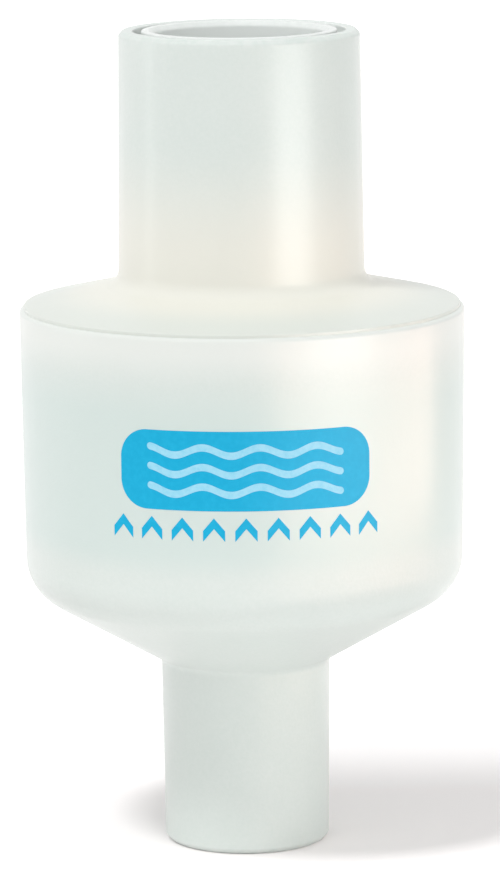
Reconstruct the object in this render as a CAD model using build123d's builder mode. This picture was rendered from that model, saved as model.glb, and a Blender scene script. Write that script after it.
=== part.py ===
"""Breathing circuit filter with a moisture exchange roll, standing on its machine port.

A translucent cup and lid are welded together round a wound, corrugated paper roll and a felt
filter pad. The cup ends in a 15 mm male cone. The lid ends in a coaxial port, a 22 mm male cone
outside and a 15 mm socket inside. Millimetres, +Z along the gas path towards the patient port,
origin at the centre of the face on which the filter stands.
"""

import os
from math import atan2, cos, degrees, pi, radians, sin, tan

from build123d import *

# Standard breathing cones lose this much radius for each millimetre towards the narrow end
cone_slope = 1 / 80

# Machine port, a 15 mm male cone
machine_tip_diameter = 15.07
machine_port_length = 17.0
machine_port_wall = 1.7
machine_tip_chamfer = 0.4
machine_root_fillet = 0.8

# Cup round the roll, slightly wider at its mouth than at its foot
cup_mouth_diameter = 40.54
cup_foot_diameter = 39.98
cup_wall = 1.6
cup_cone_rise = 7.1
cup_side_height = 25.5
cup_foot_fillet = 4.4
inner_foot_chamfer = 1.0
cup_rim_chamfer = 0.35
cup_recess_step = 0.6
cup_recess_depth = 4.6

# Lid, a shallow sloping shoulder that lies on the cup's rim, with a plug that enters the cup's mouth
lid_wall = 1.5
lid_edge_inset = 0.4
lid_rim_height = 0.3
lid_edge_chamfer = 0.12
lid_rise = 1.95
plug_wall = 1.25
plug_clearance = 0.1
plug_lead_in = 0.3

# Patient port, a 22 mm male cone outside and a 15 mm socket inside
patient_tip_diameter = 21.84
patient_port_length = 22.9
patient_port_wall = 1.3
patient_tip_chamfer = 0.4
patient_root_fillet = 1.6
socket_mouth_diameter = 15.5
socket_depth = 16.5
socket_wall = 1.1
socket_lead_in = 0.4
socket_stop_step = 0.35
port_web = 2.2
throat_flare = 1.0

# Thin ribs that join the socket to the outer cone, in the ring gap between them
gap_rib_count = 3
gap_rib_first_angle = -30
gap_rib_width = 0.8
gap_rib_drop = 3.0

# Fins that carry the roll and the pad and spread the gas over them
fin_count = 8
fin_first_angle = 22.5
fin_width = 0.9
seat_fin_height = 1.05
seat_fin_inset = 0.6
lid_fin_inset = 1.5

# Filter pad, pinched at its rim between the cup's ledge and the lid's plug
pad_thickness = 2.0
pad_rim_thickness = 1.2
pad_clearance = 0.15

# Roll of corrugated paper strip, as high as the room between its seat and the pad
roll_clearance = 0.2
roll_core_radius = 2.4
strip_thickness = 1.75
flute_pitch = 2.9
paper = 0.3


def crossing(point_a, slope_a, point_b, slope_b):
    """Point (radius, height) where two lines meet, each given by a point and its radius per height."""
    (radius_a, height_a), (radius_b, height_b) = point_a, point_b
    height = (radius_b - radius_a + slope_a * height_a - slope_b * height_b) / (slope_a - slope_b)
    return radius_a + slope_a * (height - height_a), height


# Heights of the outer form, from the standing face upwards
cup_root_height = machine_port_length
cup_foot_height = cup_root_height + cup_cone_rise
seam_height = cup_foot_height + cup_side_height
lid_edge_height = seam_height + lid_rim_height
port_root_height = lid_edge_height + lid_rise
top_height = port_root_height + patient_port_length

# Radii of the outer form
machine_tip_radius = machine_tip_diameter / 2
machine_root_radius = machine_tip_radius + (machine_port_length - machine_tip_chamfer) * cone_slope
cup_foot_radius = cup_foot_diameter / 2
cup_mouth_radius = cup_mouth_diameter / 2
patient_tip_radius = patient_tip_diameter / 2
patient_root_radius = patient_tip_radius + (patient_port_length - patient_tip_chamfer) * cone_slope
lid_edge_radius = cup_mouth_radius - lid_edge_inset

# Slopes, as radius per height, of the cup's cone, the cup's side and the lid's shoulder
cup_cone_slope = (cup_foot_radius - machine_root_radius) / cup_cone_rise
cup_side_slope = (cup_mouth_radius - cup_foot_radius) / cup_side_height
shoulder_slope = (patient_root_radius - lid_edge_radius) / lid_rise
cup_cone_lift = cup_wall / cos(atan2(1, cup_cone_slope))
shoulder_drop = lid_wall / cos(atan2(1, -shoulder_slope))

# Inner surfaces of the cup
machine_bore_tip = (machine_tip_radius - machine_port_wall, 0)
cup_inner_cone_point = (cup_foot_radius, cup_foot_height + cup_cone_lift)
cup_inner_foot_point = (cup_foot_radius - cup_wall, cup_foot_height)
machine_bore_top = crossing(machine_bore_tip, cone_slope, cup_inner_cone_point, cup_cone_slope)
cup_inner_corner = crossing(
    cup_inner_foot_point, cup_side_slope, cup_inner_cone_point, cup_cone_slope
)

# Stack inside the chamber
roll_seat_height = cup_inner_corner[1] + seat_fin_height
pad_seat_height = seam_height - cup_recess_depth
roll_height = pad_seat_height - roll_seat_height
plug_end_height = pad_seat_height + pad_rim_thickness
pad_top_height = pad_seat_height + pad_thickness
ledge_radius = cup_inner_foot_point[0] + cup_side_slope * (pad_seat_height - cup_foot_height)
roll_radius = min(cup_inner_corner[0], ledge_radius) - roll_clearance
recess_radius = ledge_radius + cup_recess_step
pad_radius = recess_radius - pad_clearance
plug_radius = recess_radius - plug_clearance
plug_inner_radius = plug_radius - plug_wall

# Inner surfaces of the lid
socket_mouth_radius = socket_mouth_diameter / 2
socket_end_height = top_height - socket_depth
socket_end_radius = socket_mouth_radius - (socket_depth - socket_lead_in) * cone_slope
throat_radius = socket_end_radius - socket_stop_step
gap_inner_radius = socket_mouth_radius + socket_wall
gap_outer_radius = patient_tip_radius - patient_port_wall


def underside(radius):
    """Height of the shoulder's underside at a radius."""
    return lid_edge_height - shoulder_drop + (radius - lid_edge_radius) / shoulder_slope


def inner_cone(radius):
    """Height of the inside of the cup's cone at a radius."""
    return cup_inner_cone_point[1] + (radius - cup_inner_cone_point[0]) / cup_cone_slope


gap_floor_height = underside(gap_outer_radius) + port_web
gap_rib_top = top_height - gap_rib_drop
gap_width = gap_outer_radius - gap_inner_radius


def round_corner(section, corner, radius):
    """Round the corner of a section that lies at a radius and a height."""
    fillet(section.vertices().sort_by_distance(corner)[0], radius)


def bevel_corner(section, corner, length):
    """Cut off the corner of a section that lies at a radius and a height."""
    chamfer(section.vertices().sort_by_distance(corner)[0], length)


# One seat fin of the cup, sunk half way into the cone and the side
seat_fin_start = machine_bore_top[0] + seat_fin_inset
seat_fin_end = cup_inner_corner[0] + cup_wall / 2
seat_fin_root = inner_cone(seat_fin_start) - cup_cone_lift / 2
seat_fin_foot = inner_cone(cup_inner_corner[0]) - cup_cone_lift / 2
with BuildPart() as seat_fin:
    with BuildSketch(Plane.XZ):
        with BuildLine():
            Polyline(
                (seat_fin_start, seat_fin_root),
                (cup_inner_corner[0], seat_fin_foot),
                (seat_fin_end, cup_inner_corner[1]),
                (seat_fin_end, roll_seat_height),
                (seat_fin_start, roll_seat_height),
                close=True,
            )
        make_face()
    extrude(amount=fin_width / 2, both=True)

# Cup: male cone, chamber cone and side in one moulding, with the recess for the lid's plug
with BuildPart() as lower_housing:
    with BuildSketch(Plane.XZ) as cup_section:
        with BuildLine():
            Polyline(
                machine_bore_tip,
                (machine_tip_radius - machine_tip_chamfer, 0),
                (machine_tip_radius, machine_tip_chamfer),
                (machine_root_radius, cup_root_height),
                (cup_foot_radius, cup_foot_height),
                (cup_mouth_radius, seam_height),
                (recess_radius, seam_height),
                (recess_radius, pad_seat_height),
                (ledge_radius, pad_seat_height),
                cup_inner_corner,
                machine_bore_top,
                close=True,
            )
        make_face()
        round_corner(cup_section, (machine_root_radius, cup_root_height), machine_root_fillet)
        round_corner(cup_section, (cup_foot_radius, cup_foot_height), cup_foot_fillet)
        bevel_corner(cup_section, cup_inner_corner, min(inner_foot_chamfer, seat_fin_height))
        bevel_corner(cup_section, (cup_mouth_radius, seam_height), cup_rim_chamfer)
    revolve(axis=Axis.Z)
    with PolarLocations(0, fin_count, start_angle=fin_first_angle):
        add(seat_fin.part)
lower_housing.part.label = "lower_housing"

# One fin under the lid, sunk half way into the shoulder and the plug
lid_fin_start = throat_radius + lid_fin_inset
lid_fin_end = plug_inner_radius + plug_wall / 2
with BuildPart() as lid_fin:
    with BuildSketch(Plane.XZ):
        with BuildLine():
            Polyline(
                (lid_fin_start, pad_top_height),
                (lid_fin_end, pad_top_height),
                (lid_fin_end, underside(lid_fin_end) + shoulder_drop / 2),
                (lid_fin_start, underside(lid_fin_start) + shoulder_drop / 2),
                close=True,
            )
        make_face()
    extrude(amount=fin_width / 2, both=True)

# One rib in the ring gap of the patient port
with BuildPart() as gap_rib:
    with BuildSketch(Plane.XY.offset(gap_floor_height - port_web / 2)):
        with Locations(((gap_inner_radius + gap_outer_radius) / 2, 0)):
            Rectangle(gap_width + socket_wall / 2, gap_rib_width)
    extrude(amount=gap_rib_top - gap_floor_height + port_web / 2)

# Lid: shoulder, plug and coaxial patient port in one moulding
with BuildPart() as upper_housing:
    with BuildSketch(Plane.XZ) as lid_section:
        with BuildLine():
            Polyline(
                (throat_radius + throat_flare, underside(throat_radius + throat_flare)),
                (plug_inner_radius, underside(plug_inner_radius)),
                (plug_inner_radius, plug_end_height),
                (plug_radius - plug_lead_in, plug_end_height),
                (plug_radius, plug_end_height + plug_lead_in),
                (plug_radius, seam_height),
                (lid_edge_radius, seam_height),
                (lid_edge_radius, lid_edge_height),
                (patient_root_radius, port_root_height),
                (patient_tip_radius, top_height - patient_tip_chamfer),
                (patient_tip_radius - patient_tip_chamfer, top_height),
                (gap_outer_radius, top_height),
                (gap_outer_radius, gap_floor_height),
                (gap_inner_radius, gap_floor_height),
                (gap_inner_radius, top_height),
                (socket_mouth_radius + socket_lead_in, top_height),
                (socket_mouth_radius, top_height - socket_lead_in),
                (socket_end_radius, socket_end_height),
                (throat_radius, socket_end_height),
                (throat_radius, underside(throat_radius) + throat_flare),
                close=True,
            )
        make_face()
        round_corner(lid_section, (patient_root_radius, port_root_height), patient_root_fillet)
        bevel_corner(lid_section, (lid_edge_radius, lid_edge_height), lid_edge_chamfer)
    revolve(axis=Axis.Z)
    with PolarLocations(0, fin_count, start_angle=fin_first_angle):
        add(lid_fin.part)
    with PolarLocations(0, gap_rib_count, start_angle=gap_rib_first_angle):
        add(gap_rib.part)
upper_housing.part.label = "upper_housing"

# Felt pad: full thickness inside the plug, pressed thinner under the plug's end
pad_step_radius = plug_inner_radius - pad_clearance
with BuildPart() as filter_pad:
    with BuildSketch(Plane.XZ):
        with BuildLine():
            Polyline(
                (0, pad_seat_height),
                (pad_radius, pad_seat_height),
                (pad_radius, plug_end_height),
                (pad_step_radius, plug_end_height),
                (pad_step_radius, pad_top_height),
                (0, pad_top_height),
                close=True,
            )
        make_face()
    revolve(axis=Axis.Z)
filter_pad.part.label = "filter_pad"

# The strip is wound in half turns about two centres, so that each one starts where the last ended
centre_shift = strip_thickness / 4
outer_turn_radius = roll_radius - centre_shift - strip_thickness - paper / 2
half_turn_count = 1 + int((outer_turn_radius - roll_core_radius) / (strip_thickness / 2))
first_turn_radius = outer_turn_radius - (half_turn_count - 1) * strip_thickness / 2


def half_turn(index):
    """Centre on the X axis, start angle in degrees and inner ply radius of one half turn."""
    radius = first_turn_radius + index * strip_thickness / 2
    return (centre_shift, 180, radius) if index % 2 else (-centre_shift, 0, radius)


def polar_point(centre_x, radius, angle):
    """Point at a radius and an angle in degrees about a centre on the X axis."""
    return centre_x + radius * cos(radians(angle)), radius * sin(radians(angle))


def two_turn_outline(index, distance):
    """Closed outline of two half turns in a row, at a distance outside their inner ply."""
    ends = []
    for turn in (index, index + 1):
        centre_x, start_angle, radius = half_turn(turn)
        CenterArc((centre_x, 0), radius + distance, start_angle, 180)
        ends.append(polar_point(centre_x, radius + distance, start_angle + 180 * (turn - index)))
    Line(ends[0], ends[1])


def flutes(index):
    """Triangular openings of one half turn of strip, based in turn on its inner and outer ply."""
    centre_x, start_angle, radius = half_turn(index)
    inner_radius = radius + paper / 2
    outer_radius = inner_radius + strip_thickness - paper
    middle_radius = (inner_radius + outer_radius) / 2
    flute_count = max(3, round(pi * middle_radius / flute_pitch))
    step = 180 / flute_count
    slant = atan2(outer_radius - inner_radius, middle_radius * radians(step / 2))
    half_base = step / 2 - degrees(paper / (2 * sin(slant)) / middle_radius)
    base_radius = inner_radius / cos(radians(half_base))
    point_height = middle_radius * radians(half_base) * tan(slant)
    openings = []
    for flute in range(flute_count):
        angle = start_angle + (flute + 0.5) * step
        openings.append(
            Polygon(
                polar_point(centre_x, base_radius, angle - half_base),
                polar_point(centre_x, base_radius, angle + half_base),
                polar_point(centre_x, inner_radius + point_height, angle),
                align=None,
            )
        )
        angle += step / 2
        if flute < flute_count - 1:
            openings.append(
                Polygon(
                    polar_point(centre_x, outer_radius - point_height, angle),
                    polar_point(centre_x, outer_radius, angle - half_base),
                    polar_point(centre_x, outer_radius, angle + half_base),
                    align=None,
                )
            )
    return openings


# Roll: outline of the last two half turns with the strip's cut end, less the flutes and the core
flute_openings = [opening for index in range(half_turn_count) for opening in flutes(index)]
with BuildPart() as exchange_roll:
    with BuildSketch(Plane.XY.offset(roll_seat_height)):
        with BuildLine():
            two_turn_outline(half_turn_count - 2, strip_thickness + paper / 2)
        make_face()
        with BuildLine():
            two_turn_outline(0, -paper / 2)
        make_face(mode=Mode.SUBTRACT)
        add(flute_openings, mode=Mode.SUBTRACT)
    extrude(amount=roll_height)
exchange_roll.part.label = "exchange_roll"

os.makedirs("parts", exist_ok=True)
export_step(lower_housing.part, "parts/lower_housing.step")
export_step(exchange_roll.part, "parts/exchange_roll.step")
export_step(filter_pad.part, "parts/filter_pad.step")
export_step(upper_housing.part, "parts/upper_housing.step")
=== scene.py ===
"""Breathing circuit filter: frosted cup and lid, wound paper roll, felt pad and printed mark.

Metres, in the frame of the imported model: +Z runs up the gas path, and the machine port's rim is at
height 0. The camera looks along +Y at the printed side of the cup. The parts' classes hold
millimetres, which they turn to metres with MM.
"""

import logging
import math
from collections.abc import Callable, Sequence
from dataclasses import dataclass
from enum import Enum
from typing import ClassVar

import bmesh
import bpy
from mathutils import Matrix, Vector


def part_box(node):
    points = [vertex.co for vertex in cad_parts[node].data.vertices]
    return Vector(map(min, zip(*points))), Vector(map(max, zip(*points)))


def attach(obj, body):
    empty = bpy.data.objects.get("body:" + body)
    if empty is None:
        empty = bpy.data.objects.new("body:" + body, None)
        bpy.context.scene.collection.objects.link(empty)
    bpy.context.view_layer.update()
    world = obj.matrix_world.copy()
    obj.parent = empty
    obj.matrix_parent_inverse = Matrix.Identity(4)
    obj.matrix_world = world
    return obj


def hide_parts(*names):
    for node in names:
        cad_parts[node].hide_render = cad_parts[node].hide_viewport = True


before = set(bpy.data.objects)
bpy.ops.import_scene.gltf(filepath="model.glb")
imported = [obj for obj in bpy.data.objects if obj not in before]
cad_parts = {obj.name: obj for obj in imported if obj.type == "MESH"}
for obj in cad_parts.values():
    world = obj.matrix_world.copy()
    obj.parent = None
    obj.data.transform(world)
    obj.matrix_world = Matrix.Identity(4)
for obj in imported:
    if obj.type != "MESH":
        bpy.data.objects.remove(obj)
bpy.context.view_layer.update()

MM = 0.001
TURN = 2 * math.pi
CONE_SLOPE = 1 / 80
ARC_STEP = math.radians(11)
SHARP_ANGLE = math.radians(32)
# Distance, width and height of each strip near the floor, in metres
LOW_PANEL = (0.056, 0.12, 0.02)
ROOT_BODY = "root"

log = logging.getLogger("filter")

Mesh = bpy.types.Mesh
Material = bpy.types.Material
Socket = bpy.types.NodeSocket
Point = tuple[float, float]
Point3 = tuple[float, float, float]
Colour = tuple[float, float, float]
Stops = Sequence[Point]


def adds(operation: str, flipped: bool = False) -> Callable[["Wire", "Wire | float"], "Wire"]:
    """Return a method that works out a Math node's operation on a wire and another value.

    Args:
        operation: The node's operation.
        flipped: Whether the other value comes first.

    Returns:
        The method.
    """

    def method(wire: "Wire", other: "Wire | float") -> "Wire":
        """Add the node and return its result."""
        pair = (other, wire) if flipped else (wire, other)
        return wire.maker.math(operation, *pair)

    return method


class Wire:
    """A node's output on which arithmetic adds Math nodes."""

    def __init__(self, maker: "NodeMaker", socket: Socket) -> None:
        """Wrap an output socket of a tree."""
        self.maker = maker
        self.socket = socket

    __add__ = __radd__ = adds("ADD")
    __mul__ = __rmul__ = adds("MULTIPLY")
    __sub__ = adds("SUBTRACT")
    __rsub__ = adds("SUBTRACT", flipped=True)
    __truediv__ = adds("DIVIDE")
    __rtruediv__ = adds("DIVIDE", flipped=True)


class NodeMaker:
    """A node tree that short calls fill; most of its nodes' type names start alike."""

    prefix = "ShaderNode"

    def __init__(self, tree: bpy.types.NodeTree) -> None:
        """Keep the tree."""
        self.tree = tree

    def node(
        self,
        kind: str,
        settings: dict[str, object] | None = None,
        inputs: dict[str | int, object] | None = None,
    ) -> bpy.types.Node:
        """Add any node.

        Args:
            kind: The node's type name.
            settings: Its properties, set before its sockets.
            inputs: Values or links of its sockets, by name or index. Each item of a list is linked.

        Returns:
            The new node.
        """
        made = self.tree.nodes.new(kind)
        for name, value in (settings or {}).items():
            if name == "stops":
                self._set_stops(made.color_ramp, value)
            else:
                setattr(made, name, value)
        for name, value in (inputs or {}).items():
            for item in value if isinstance(value, list) else [value]:
                self._feed(made.inputs[name], item)
        return made

    def form(
        self, kind: str, settings: dict[str, object] | None = None, **inputs: object
    ) -> Socket:
        """Add a node of the tree's own kind.

        Args:
            kind: Its type name without the prefix.
            settings: Its properties.
            **inputs: Its sockets; an underscore in a name stands for a space.

        Returns:
            The node's first output.
        """
        spaced = {name.replace("_", " "): value for name, value in inputs.items()}
        return self.node(self.prefix + kind, settings, spaced).outputs[0]

    def _feed(self, target: Socket, value: object) -> None:
        """Link or set one input socket."""
        if isinstance(value, Wire):
            self.tree.links.new(value.socket, target)
        elif isinstance(value, Socket):
            self.tree.links.new(value, target)
        else:
            target.default_value = value

    @staticmethod
    def _set_stops(ramp: bpy.types.ColorRamp, stops: Stops) -> None:
        """Fill a ramp with grey stops.

        Args:
            ramp: The ramp, which starts with two stops.
            stops: Position and grey level of each stop.
        """
        while len(ramp.elements) < len(stops):
            ramp.elements.new(0.5)
        for element, (position, level) in zip(ramp.elements, stops):
            element.position = position
            element.color = (level, level, level, 1.0)

    def math(self, operation: str, *operands: Wire | float) -> Wire:
        """Add a Math node and return its result."""
        made = self.node("ShaderNodeMath", {"operation": operation}, dict(enumerate(operands)))
        return Wire(self, made.outputs[0])

    def length(self, across: Wire, depth: Wire) -> Wire:
        """Return the distance from the origin of a point in the plane."""
        return self.math("SQRT", across * across + depth * depth)

    def join(self, x: Wire | float, y: Wire | float, z: Wire | float) -> Socket:
        """Combine three values to a vector."""
        return self.node("ShaderNodeCombineXYZ", None, {"X": x, "Y": y, "Z": z}).outputs[0]

    def split(self, vector: Socket) -> tuple[Wire, Wire, Wire]:
        """Return a vector's three values."""
        made = self.node("ShaderNodeSeparateXYZ", None, {"Vector": vector})
        return tuple(Wire(self, made.outputs[axis]) for axis in "XYZ")

    def noise(
        self, place: Socket, scale: float | Wire, detail: float = 2.0, bend: float = 0.0
    ) -> Wire:
        """Add a Noise texture.

        Args:
            place: The coordinates.
            scale: Cells per metre.
            detail: Octaves.
            bend: How far the pattern is distorted.

        Returns:
            The noise, from 0 to 1.
        """
        inputs = {"Vector": place, "Scale": scale, "Detail": detail, "Distortion": bend}
        return Wire(self, self.node("ShaderNodeTexNoise", None, inputs).outputs["Fac"])


class ShaderTree(NodeMaker):
    """A material's or world's node tree."""

    def __init__(self, owner: Material | bpy.types.World) -> None:
        """Empty the owner's node tree and keep it."""
        owner.use_nodes = True
        super().__init__(owner.node_tree)
        self.tree.nodes.clear()

    def place(self) -> Socket:
        """Return the Object coordinates."""
        return self.node("ShaderNodeTexCoord").outputs["Object"]

    def stretched(self, place: Socket, scale: Colour) -> Socket:
        """Scale coordinates along each axis."""
        return self.form("Mapping", Vector=place, Scale=scale)

    def step(self, value: Wire, start: float, end: float) -> Wire:
        """Return a smooth step from 0 at one value to 1 at another.

        Args:
            value: The value to test.
            start: Where the step begins.
            end: Where it ends, above or below the start.

        Returns:
            The step, from 0 to 1.
        """
        low, high = (0.0, 1.0) if end > start else (1.0, 0.0)
        ends = {1: min(start, end), 2: max(start, end), 3: low, 4: high}
        smooth = {"interpolation_type": "SMOOTHSTEP"}
        made = self.node("ShaderNodeMapRange", smooth, {"Value": value, **ends})
        return Wire(self, made.outputs[0])

    def ramp(self, value: Wire, stops: Stops) -> Wire:
        """Remap a value through a ramp of grey stops."""
        return Wire(self, self.form("ValToRGB", {"stops": stops}, Fac=value))

    def blend(
        self, share: Wire, first: Colour | Socket, second: Colour
    ) -> Socket:
        """Mix two linear colours.

        Args:
            share: 0 for the first colour, 1 for the second.
            first: Red, green and blue, or a colour made before.
            second: Red, green and blue.

        Returns:
            The mixed colour.
        """
        if isinstance(first, tuple):
            first = (*first, 1.0)
        made = self.node(
            "ShaderNodeMix", {"data_type": "RGBA"}, {"Factor": share, 6: first, 7: (*second, 1.0)}
        )
        return made.outputs[2]

    def bump(
        self, height: Wire, distance: float, under: Socket | None = None
    ) -> Socket:
        """Add a Bump node.

        Args:
            height: The height, from 0 to 1.
            distance: What a height of 1 stands for, in metres.
            under: The normal of a coarser relief below it.

        Returns:
            The bent normal.
        """
        coarse = {"Normal": under} if under else {}
        return self.form("Bump", Height=height, Distance=distance, **coarse)

    def show(self, surface: Socket, kind: str = "OutputMaterial") -> None:
        """Link a shader to the tree's output node."""
        self.node(self.prefix + kind, None, {"Surface": surface})


@dataclass(frozen=True)
class Tint:
    """A colour painted over a wall between heights: painted shade where it is darker, painted light
    where it is paler.

    `fade` holds four heights in millimetres. The tint starts and is full at the first two, counted
    from its zone's low end, and begins to go and is gone at the last two, from the high end.
    """

    fade: tuple[float, float, float, float]
    colour: Colour


@dataclass(frozen=True)
class Zone:
    """A painted tint of light or shade between two heights, in millimetres."""

    low: float
    high: float
    tint: Tint

    def mask(self, tree: ShaderTree, height: Wire) -> Wire:
        """Return the tint's share at a height in metres."""
        start, full_from, full_to, end = self.tint.fade
        fade_in = tree.step(height, (self.low + start) * MM, (self.low + full_from) * MM)
        return fade_in * tree.step(height, (self.high + end) * MM, (self.high + full_to) * MM)


@dataclass(frozen=True)
class Finish:
    """A material that is worked out from its own fields, all lengths in metres."""

    name: str

    def surface(self, tree: ShaderTree) -> Socket:
        """Add the finish's nodes to a tree.

        Args:
            tree: The material's empty tree.

        Returns:
            The shader that the tree shows.
        """
        raise NotImplementedError

    def make(self) -> Material:
        """Build the material."""
        material = bpy.data.materials.new(self.name)
        tree = ShaderTree(material)
        tree.show(self.surface(tree))
        return material


@dataclass(frozen=True)
class FrostedPlastic(Finish):
    """Milky translucent moulding: a satin skin over a cloudy wall, scuffed at its free rim, with
    painted light and painted shade by height and painted light in its bore.
    """

    rim_height: float
    rim_inside: float
    zones: tuple[Zone, ...]
    # Painted light: within this radius and above this floor the wall is painted nearly white.
    bore_radius: float = 0.0
    bore_floor: float = 0.0
    bore_edge: float = 0.05 * MM
    bore_fade: float = 1 * MM
    pale: Colour = (0.745, 0.820, 0.780)
    cloudy: Colour = (0.785, 0.850, 0.815)
    scuffed: Colour = (0.86, 0.90, 0.875)
    # Painted light: the bore's nearly white colour.
    painted_bore_light: Colour = (0.935, 0.970, 0.950)
    see_through: float = 0.15
    ior: float = 1.43
    roughness: float = 0.42
    cloud_roughness: float = 0.08
    drag_roughness: float = 0.12
    worn_roughness: float = 0.2
    polish: float = 0.34
    polish_roughness: float = 0.24
    cloud_size: float = 9 * MM
    cloud_share: float = 0.5
    mottle_stops: Stops = ((0.32, 0.0), (0.68, 1.0))
    speckle_size: float = 0.34 * MM
    drag_size: float = 0.9 * MM
    drag_stretch: float = 0.04
    scuff_size: float = 0.8 * MM
    scuff_stops: Stops = ((0.42, 0.0), (0.62, 1.0))
    scuff_strength: float = 0.6
    skin_size: float = 0.25 * MM
    skin_depth: float = 0.010 * MM
    drag_depth: float = 0.004 * MM

    def surface(self, tree: ShaderTree) -> Socket:
        """Add the finish's nodes and return their shader, as `Finish.surface` says."""
        place = tree.place()
        across, depth, height = tree.split(place)
        cloud = tree.noise(place, 1 / self.cloud_size, 3.0)
        speckle = tree.noise(place, 1 / self.speckle_size, 2.0)
        drawn = tree.stretched(place, (1.0, 1.0, self.drag_stretch))
        drag = tree.noise(drawn, 1 / self.drag_size, 3.0)
        skin = tree.noise(place, 1 / self.skin_size, 2.0)
        scuffs = tree.ramp(tree.noise(place, 1 / self.scuff_size, 4.0), self.scuff_stops)
        worn = tree.step(height, self.rim_inside, self.rim_height) * scuffs
        cloudiness = cloud * self.cloud_share + speckle * (1 - self.cloud_share)
        mottle = tree.ramp(cloudiness, self.mottle_stops)
        colour = tree.blend(mottle, self.pale, self.cloudy)
        # Painted light and painted shade, zone by zone up the wall.
        for zone in self.zones:
            colour = tree.blend(zone.mask(tree, height), colour, zone.tint.colour)
        # Painted light in the port's bore, in place of the light that its translucent walls let in.
        if self.bore_radius:
            radius = tree.length(across, depth)
            inside = tree.step(radius, self.bore_radius, self.bore_radius - self.bore_edge)
            above = tree.step(height, self.bore_floor, self.bore_floor + self.bore_fade)
            colour = tree.blend(inside * above, colour, self.painted_bore_light)
        rough = (cloud - 0.5) * self.cloud_roughness + (drag - 0.5) * self.drag_roughness
        return tree.form(
            "BsdfPrincipled",
            Base_Color=tree.blend(worn * self.scuff_strength, colour, self.scuffed),
            Roughness=rough + worn * self.worn_roughness + self.roughness,
            IOR=self.ior,
            Transmission_Weight=self.see_through,
            Coat_Weight=self.polish,
            Coat_Roughness=self.polish_roughness,
            Normal=tree.bump(skin, self.skin_depth, tree.bump(drag, self.drag_depth)),
        )


@dataclass(frozen=True)
class PaperFinish(Finish):
    """Soft, cream, fibrous paper with paler cut edges."""

    low_edge: float
    high_edge: float
    light: Colour = (0.88, 0.83, 0.70)
    dark: Colour = (0.76, 0.69, 0.54)
    cut: Colour = (0.93, 0.90, 0.81)
    cut_strength: float = 0.8
    fibre_size: float = 0.30 * MM
    fibre_bend: float = 0.8
    fibre_share: float = 0.6
    blotch_size: float = 4 * MM
    edge_width: float = 0.5 * MM
    depth: float = 0.02 * MM
    roughness: float = 0.75
    fibre_roughness: float = 0.2

    def surface(self, tree: ShaderTree) -> Socket:
        """Add the finish's nodes and return their shader, as `Finish.surface` says."""
        place = tree.place()
        fibres = tree.noise(place, 1 / self.fibre_size, 5.0, self.fibre_bend)
        blotch = tree.noise(place, 1 / self.blotch_size, 2.0)
        height = tree.split(place)[2]
        edge = tree.math(
            "MAXIMUM",
            tree.step(height, self.low_edge + self.edge_width, self.low_edge),
            tree.step(height, self.high_edge - self.edge_width, self.high_edge),
        )
        share = fibres * self.fibre_share + blotch * (1 - self.fibre_share)
        tone = tree.blend(share, self.dark, self.light)
        return tree.form(
            "BsdfPrincipled",
            Base_Color=tree.blend(edge * self.cut_strength, tone, self.cut),
            Roughness=fibres * self.fibre_roughness + self.roughness,
            Normal=tree.bump(fibres, self.depth),
        )


@dataclass(frozen=True)
class FeltFinish(Finish):
    """Loose synthetic felt: pale matted fibres, with painted shade in the hollows of its relief."""

    light: Colour = (0.92, 0.90, 0.83)
    # Painted shade: the colour of the hollows.
    dark: Colour = (0.70, 0.67, 0.58)
    mat_size: float = 0.45 * MM
    mat_bend: float = 1.6
    mat_share: float = 0.6
    fibre_size: float = 0.12 * MM
    fibre_bend: float = 2.4
    hollow_shade_stops: Stops = ((0.30, 0.0), (0.60, 1.0))
    depth: float = 0.05 * MM
    roughness: float = 0.85
    fibre_roughness: float = 0.1

    def surface(self, tree: ShaderTree) -> Socket:
        """Add the finish's nodes and return their shader, as `Finish.surface` says."""
        place = tree.place()
        mat = tree.noise(place, 1 / self.mat_size, 4.0, self.mat_bend)
        fibres = tree.noise(place, 1 / self.fibre_size, 3.0, self.fibre_bend)
        relief = mat * self.mat_share + fibres * (1 - self.mat_share)
        # Painted shade: the colour darkens where the relief is low.
        share = tree.ramp(relief, self.hollow_shade_stops)
        return tree.form(
            "BsdfPrincipled",
            Base_Color=tree.blend(share, self.dark, self.light),
            Roughness=fibres * self.fibre_roughness + self.roughness,
            Normal=tree.bump(relief, self.depth),
        )


class InkColour(Enum):
    """The two inks of the printed mark, each with its full and its thin colour."""

    BLUE = ((0.001, 0.390, 0.650), (0.006, 0.430, 0.690))
    PALE = ((0.34, 0.68, 0.84), (0.24, 0.62, 0.80))


@dataclass(frozen=True)
class PrintInk(Finish):
    """Screen ink with a slightly uneven film."""

    ink: InkColour
    grain_size: float = 0.5 * MM
    grain_share: float = 0.75
    mesh_size: float = 0.09 * MM
    film_stops: Stops = ((0.42, 0.0), (0.72, 1.0))
    roughness: float = 0.38
    film_roughness: float = 0.15
    gloss: float = 0.22
    depth: float = 0.004 * MM

    def surface(self, tree: ShaderTree) -> Socket:
        """Add the finish's nodes and return their shader, as `Finish.surface` says."""
        place = tree.place()
        film = tree.noise(place, 1 / self.grain_size, 3.0)
        screen = tree.noise(place, 1 / self.mesh_size, 1.0)
        full, thin = self.ink.value
        evenness = film * self.grain_share + screen * (1 - self.grain_share)
        return tree.form(
            "BsdfPrincipled",
            Base_Color=tree.blend(tree.ramp(evenness, self.film_stops), full, thin),
            Roughness=film * self.film_roughness + self.roughness,
            Specular_IOR_Level=self.gloss,
            Normal=tree.bump(screen, self.depth),
        )


@dataclass(frozen=True)
class Corner:
    """A corner of a turned outline with its rounding radius."""

    radius: float
    height: float
    fillet: float = 0.0

    def point(self) -> Vector:
        """Return the corner as a flat vector."""
        return Vector((self.radius, self.height))


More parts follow.
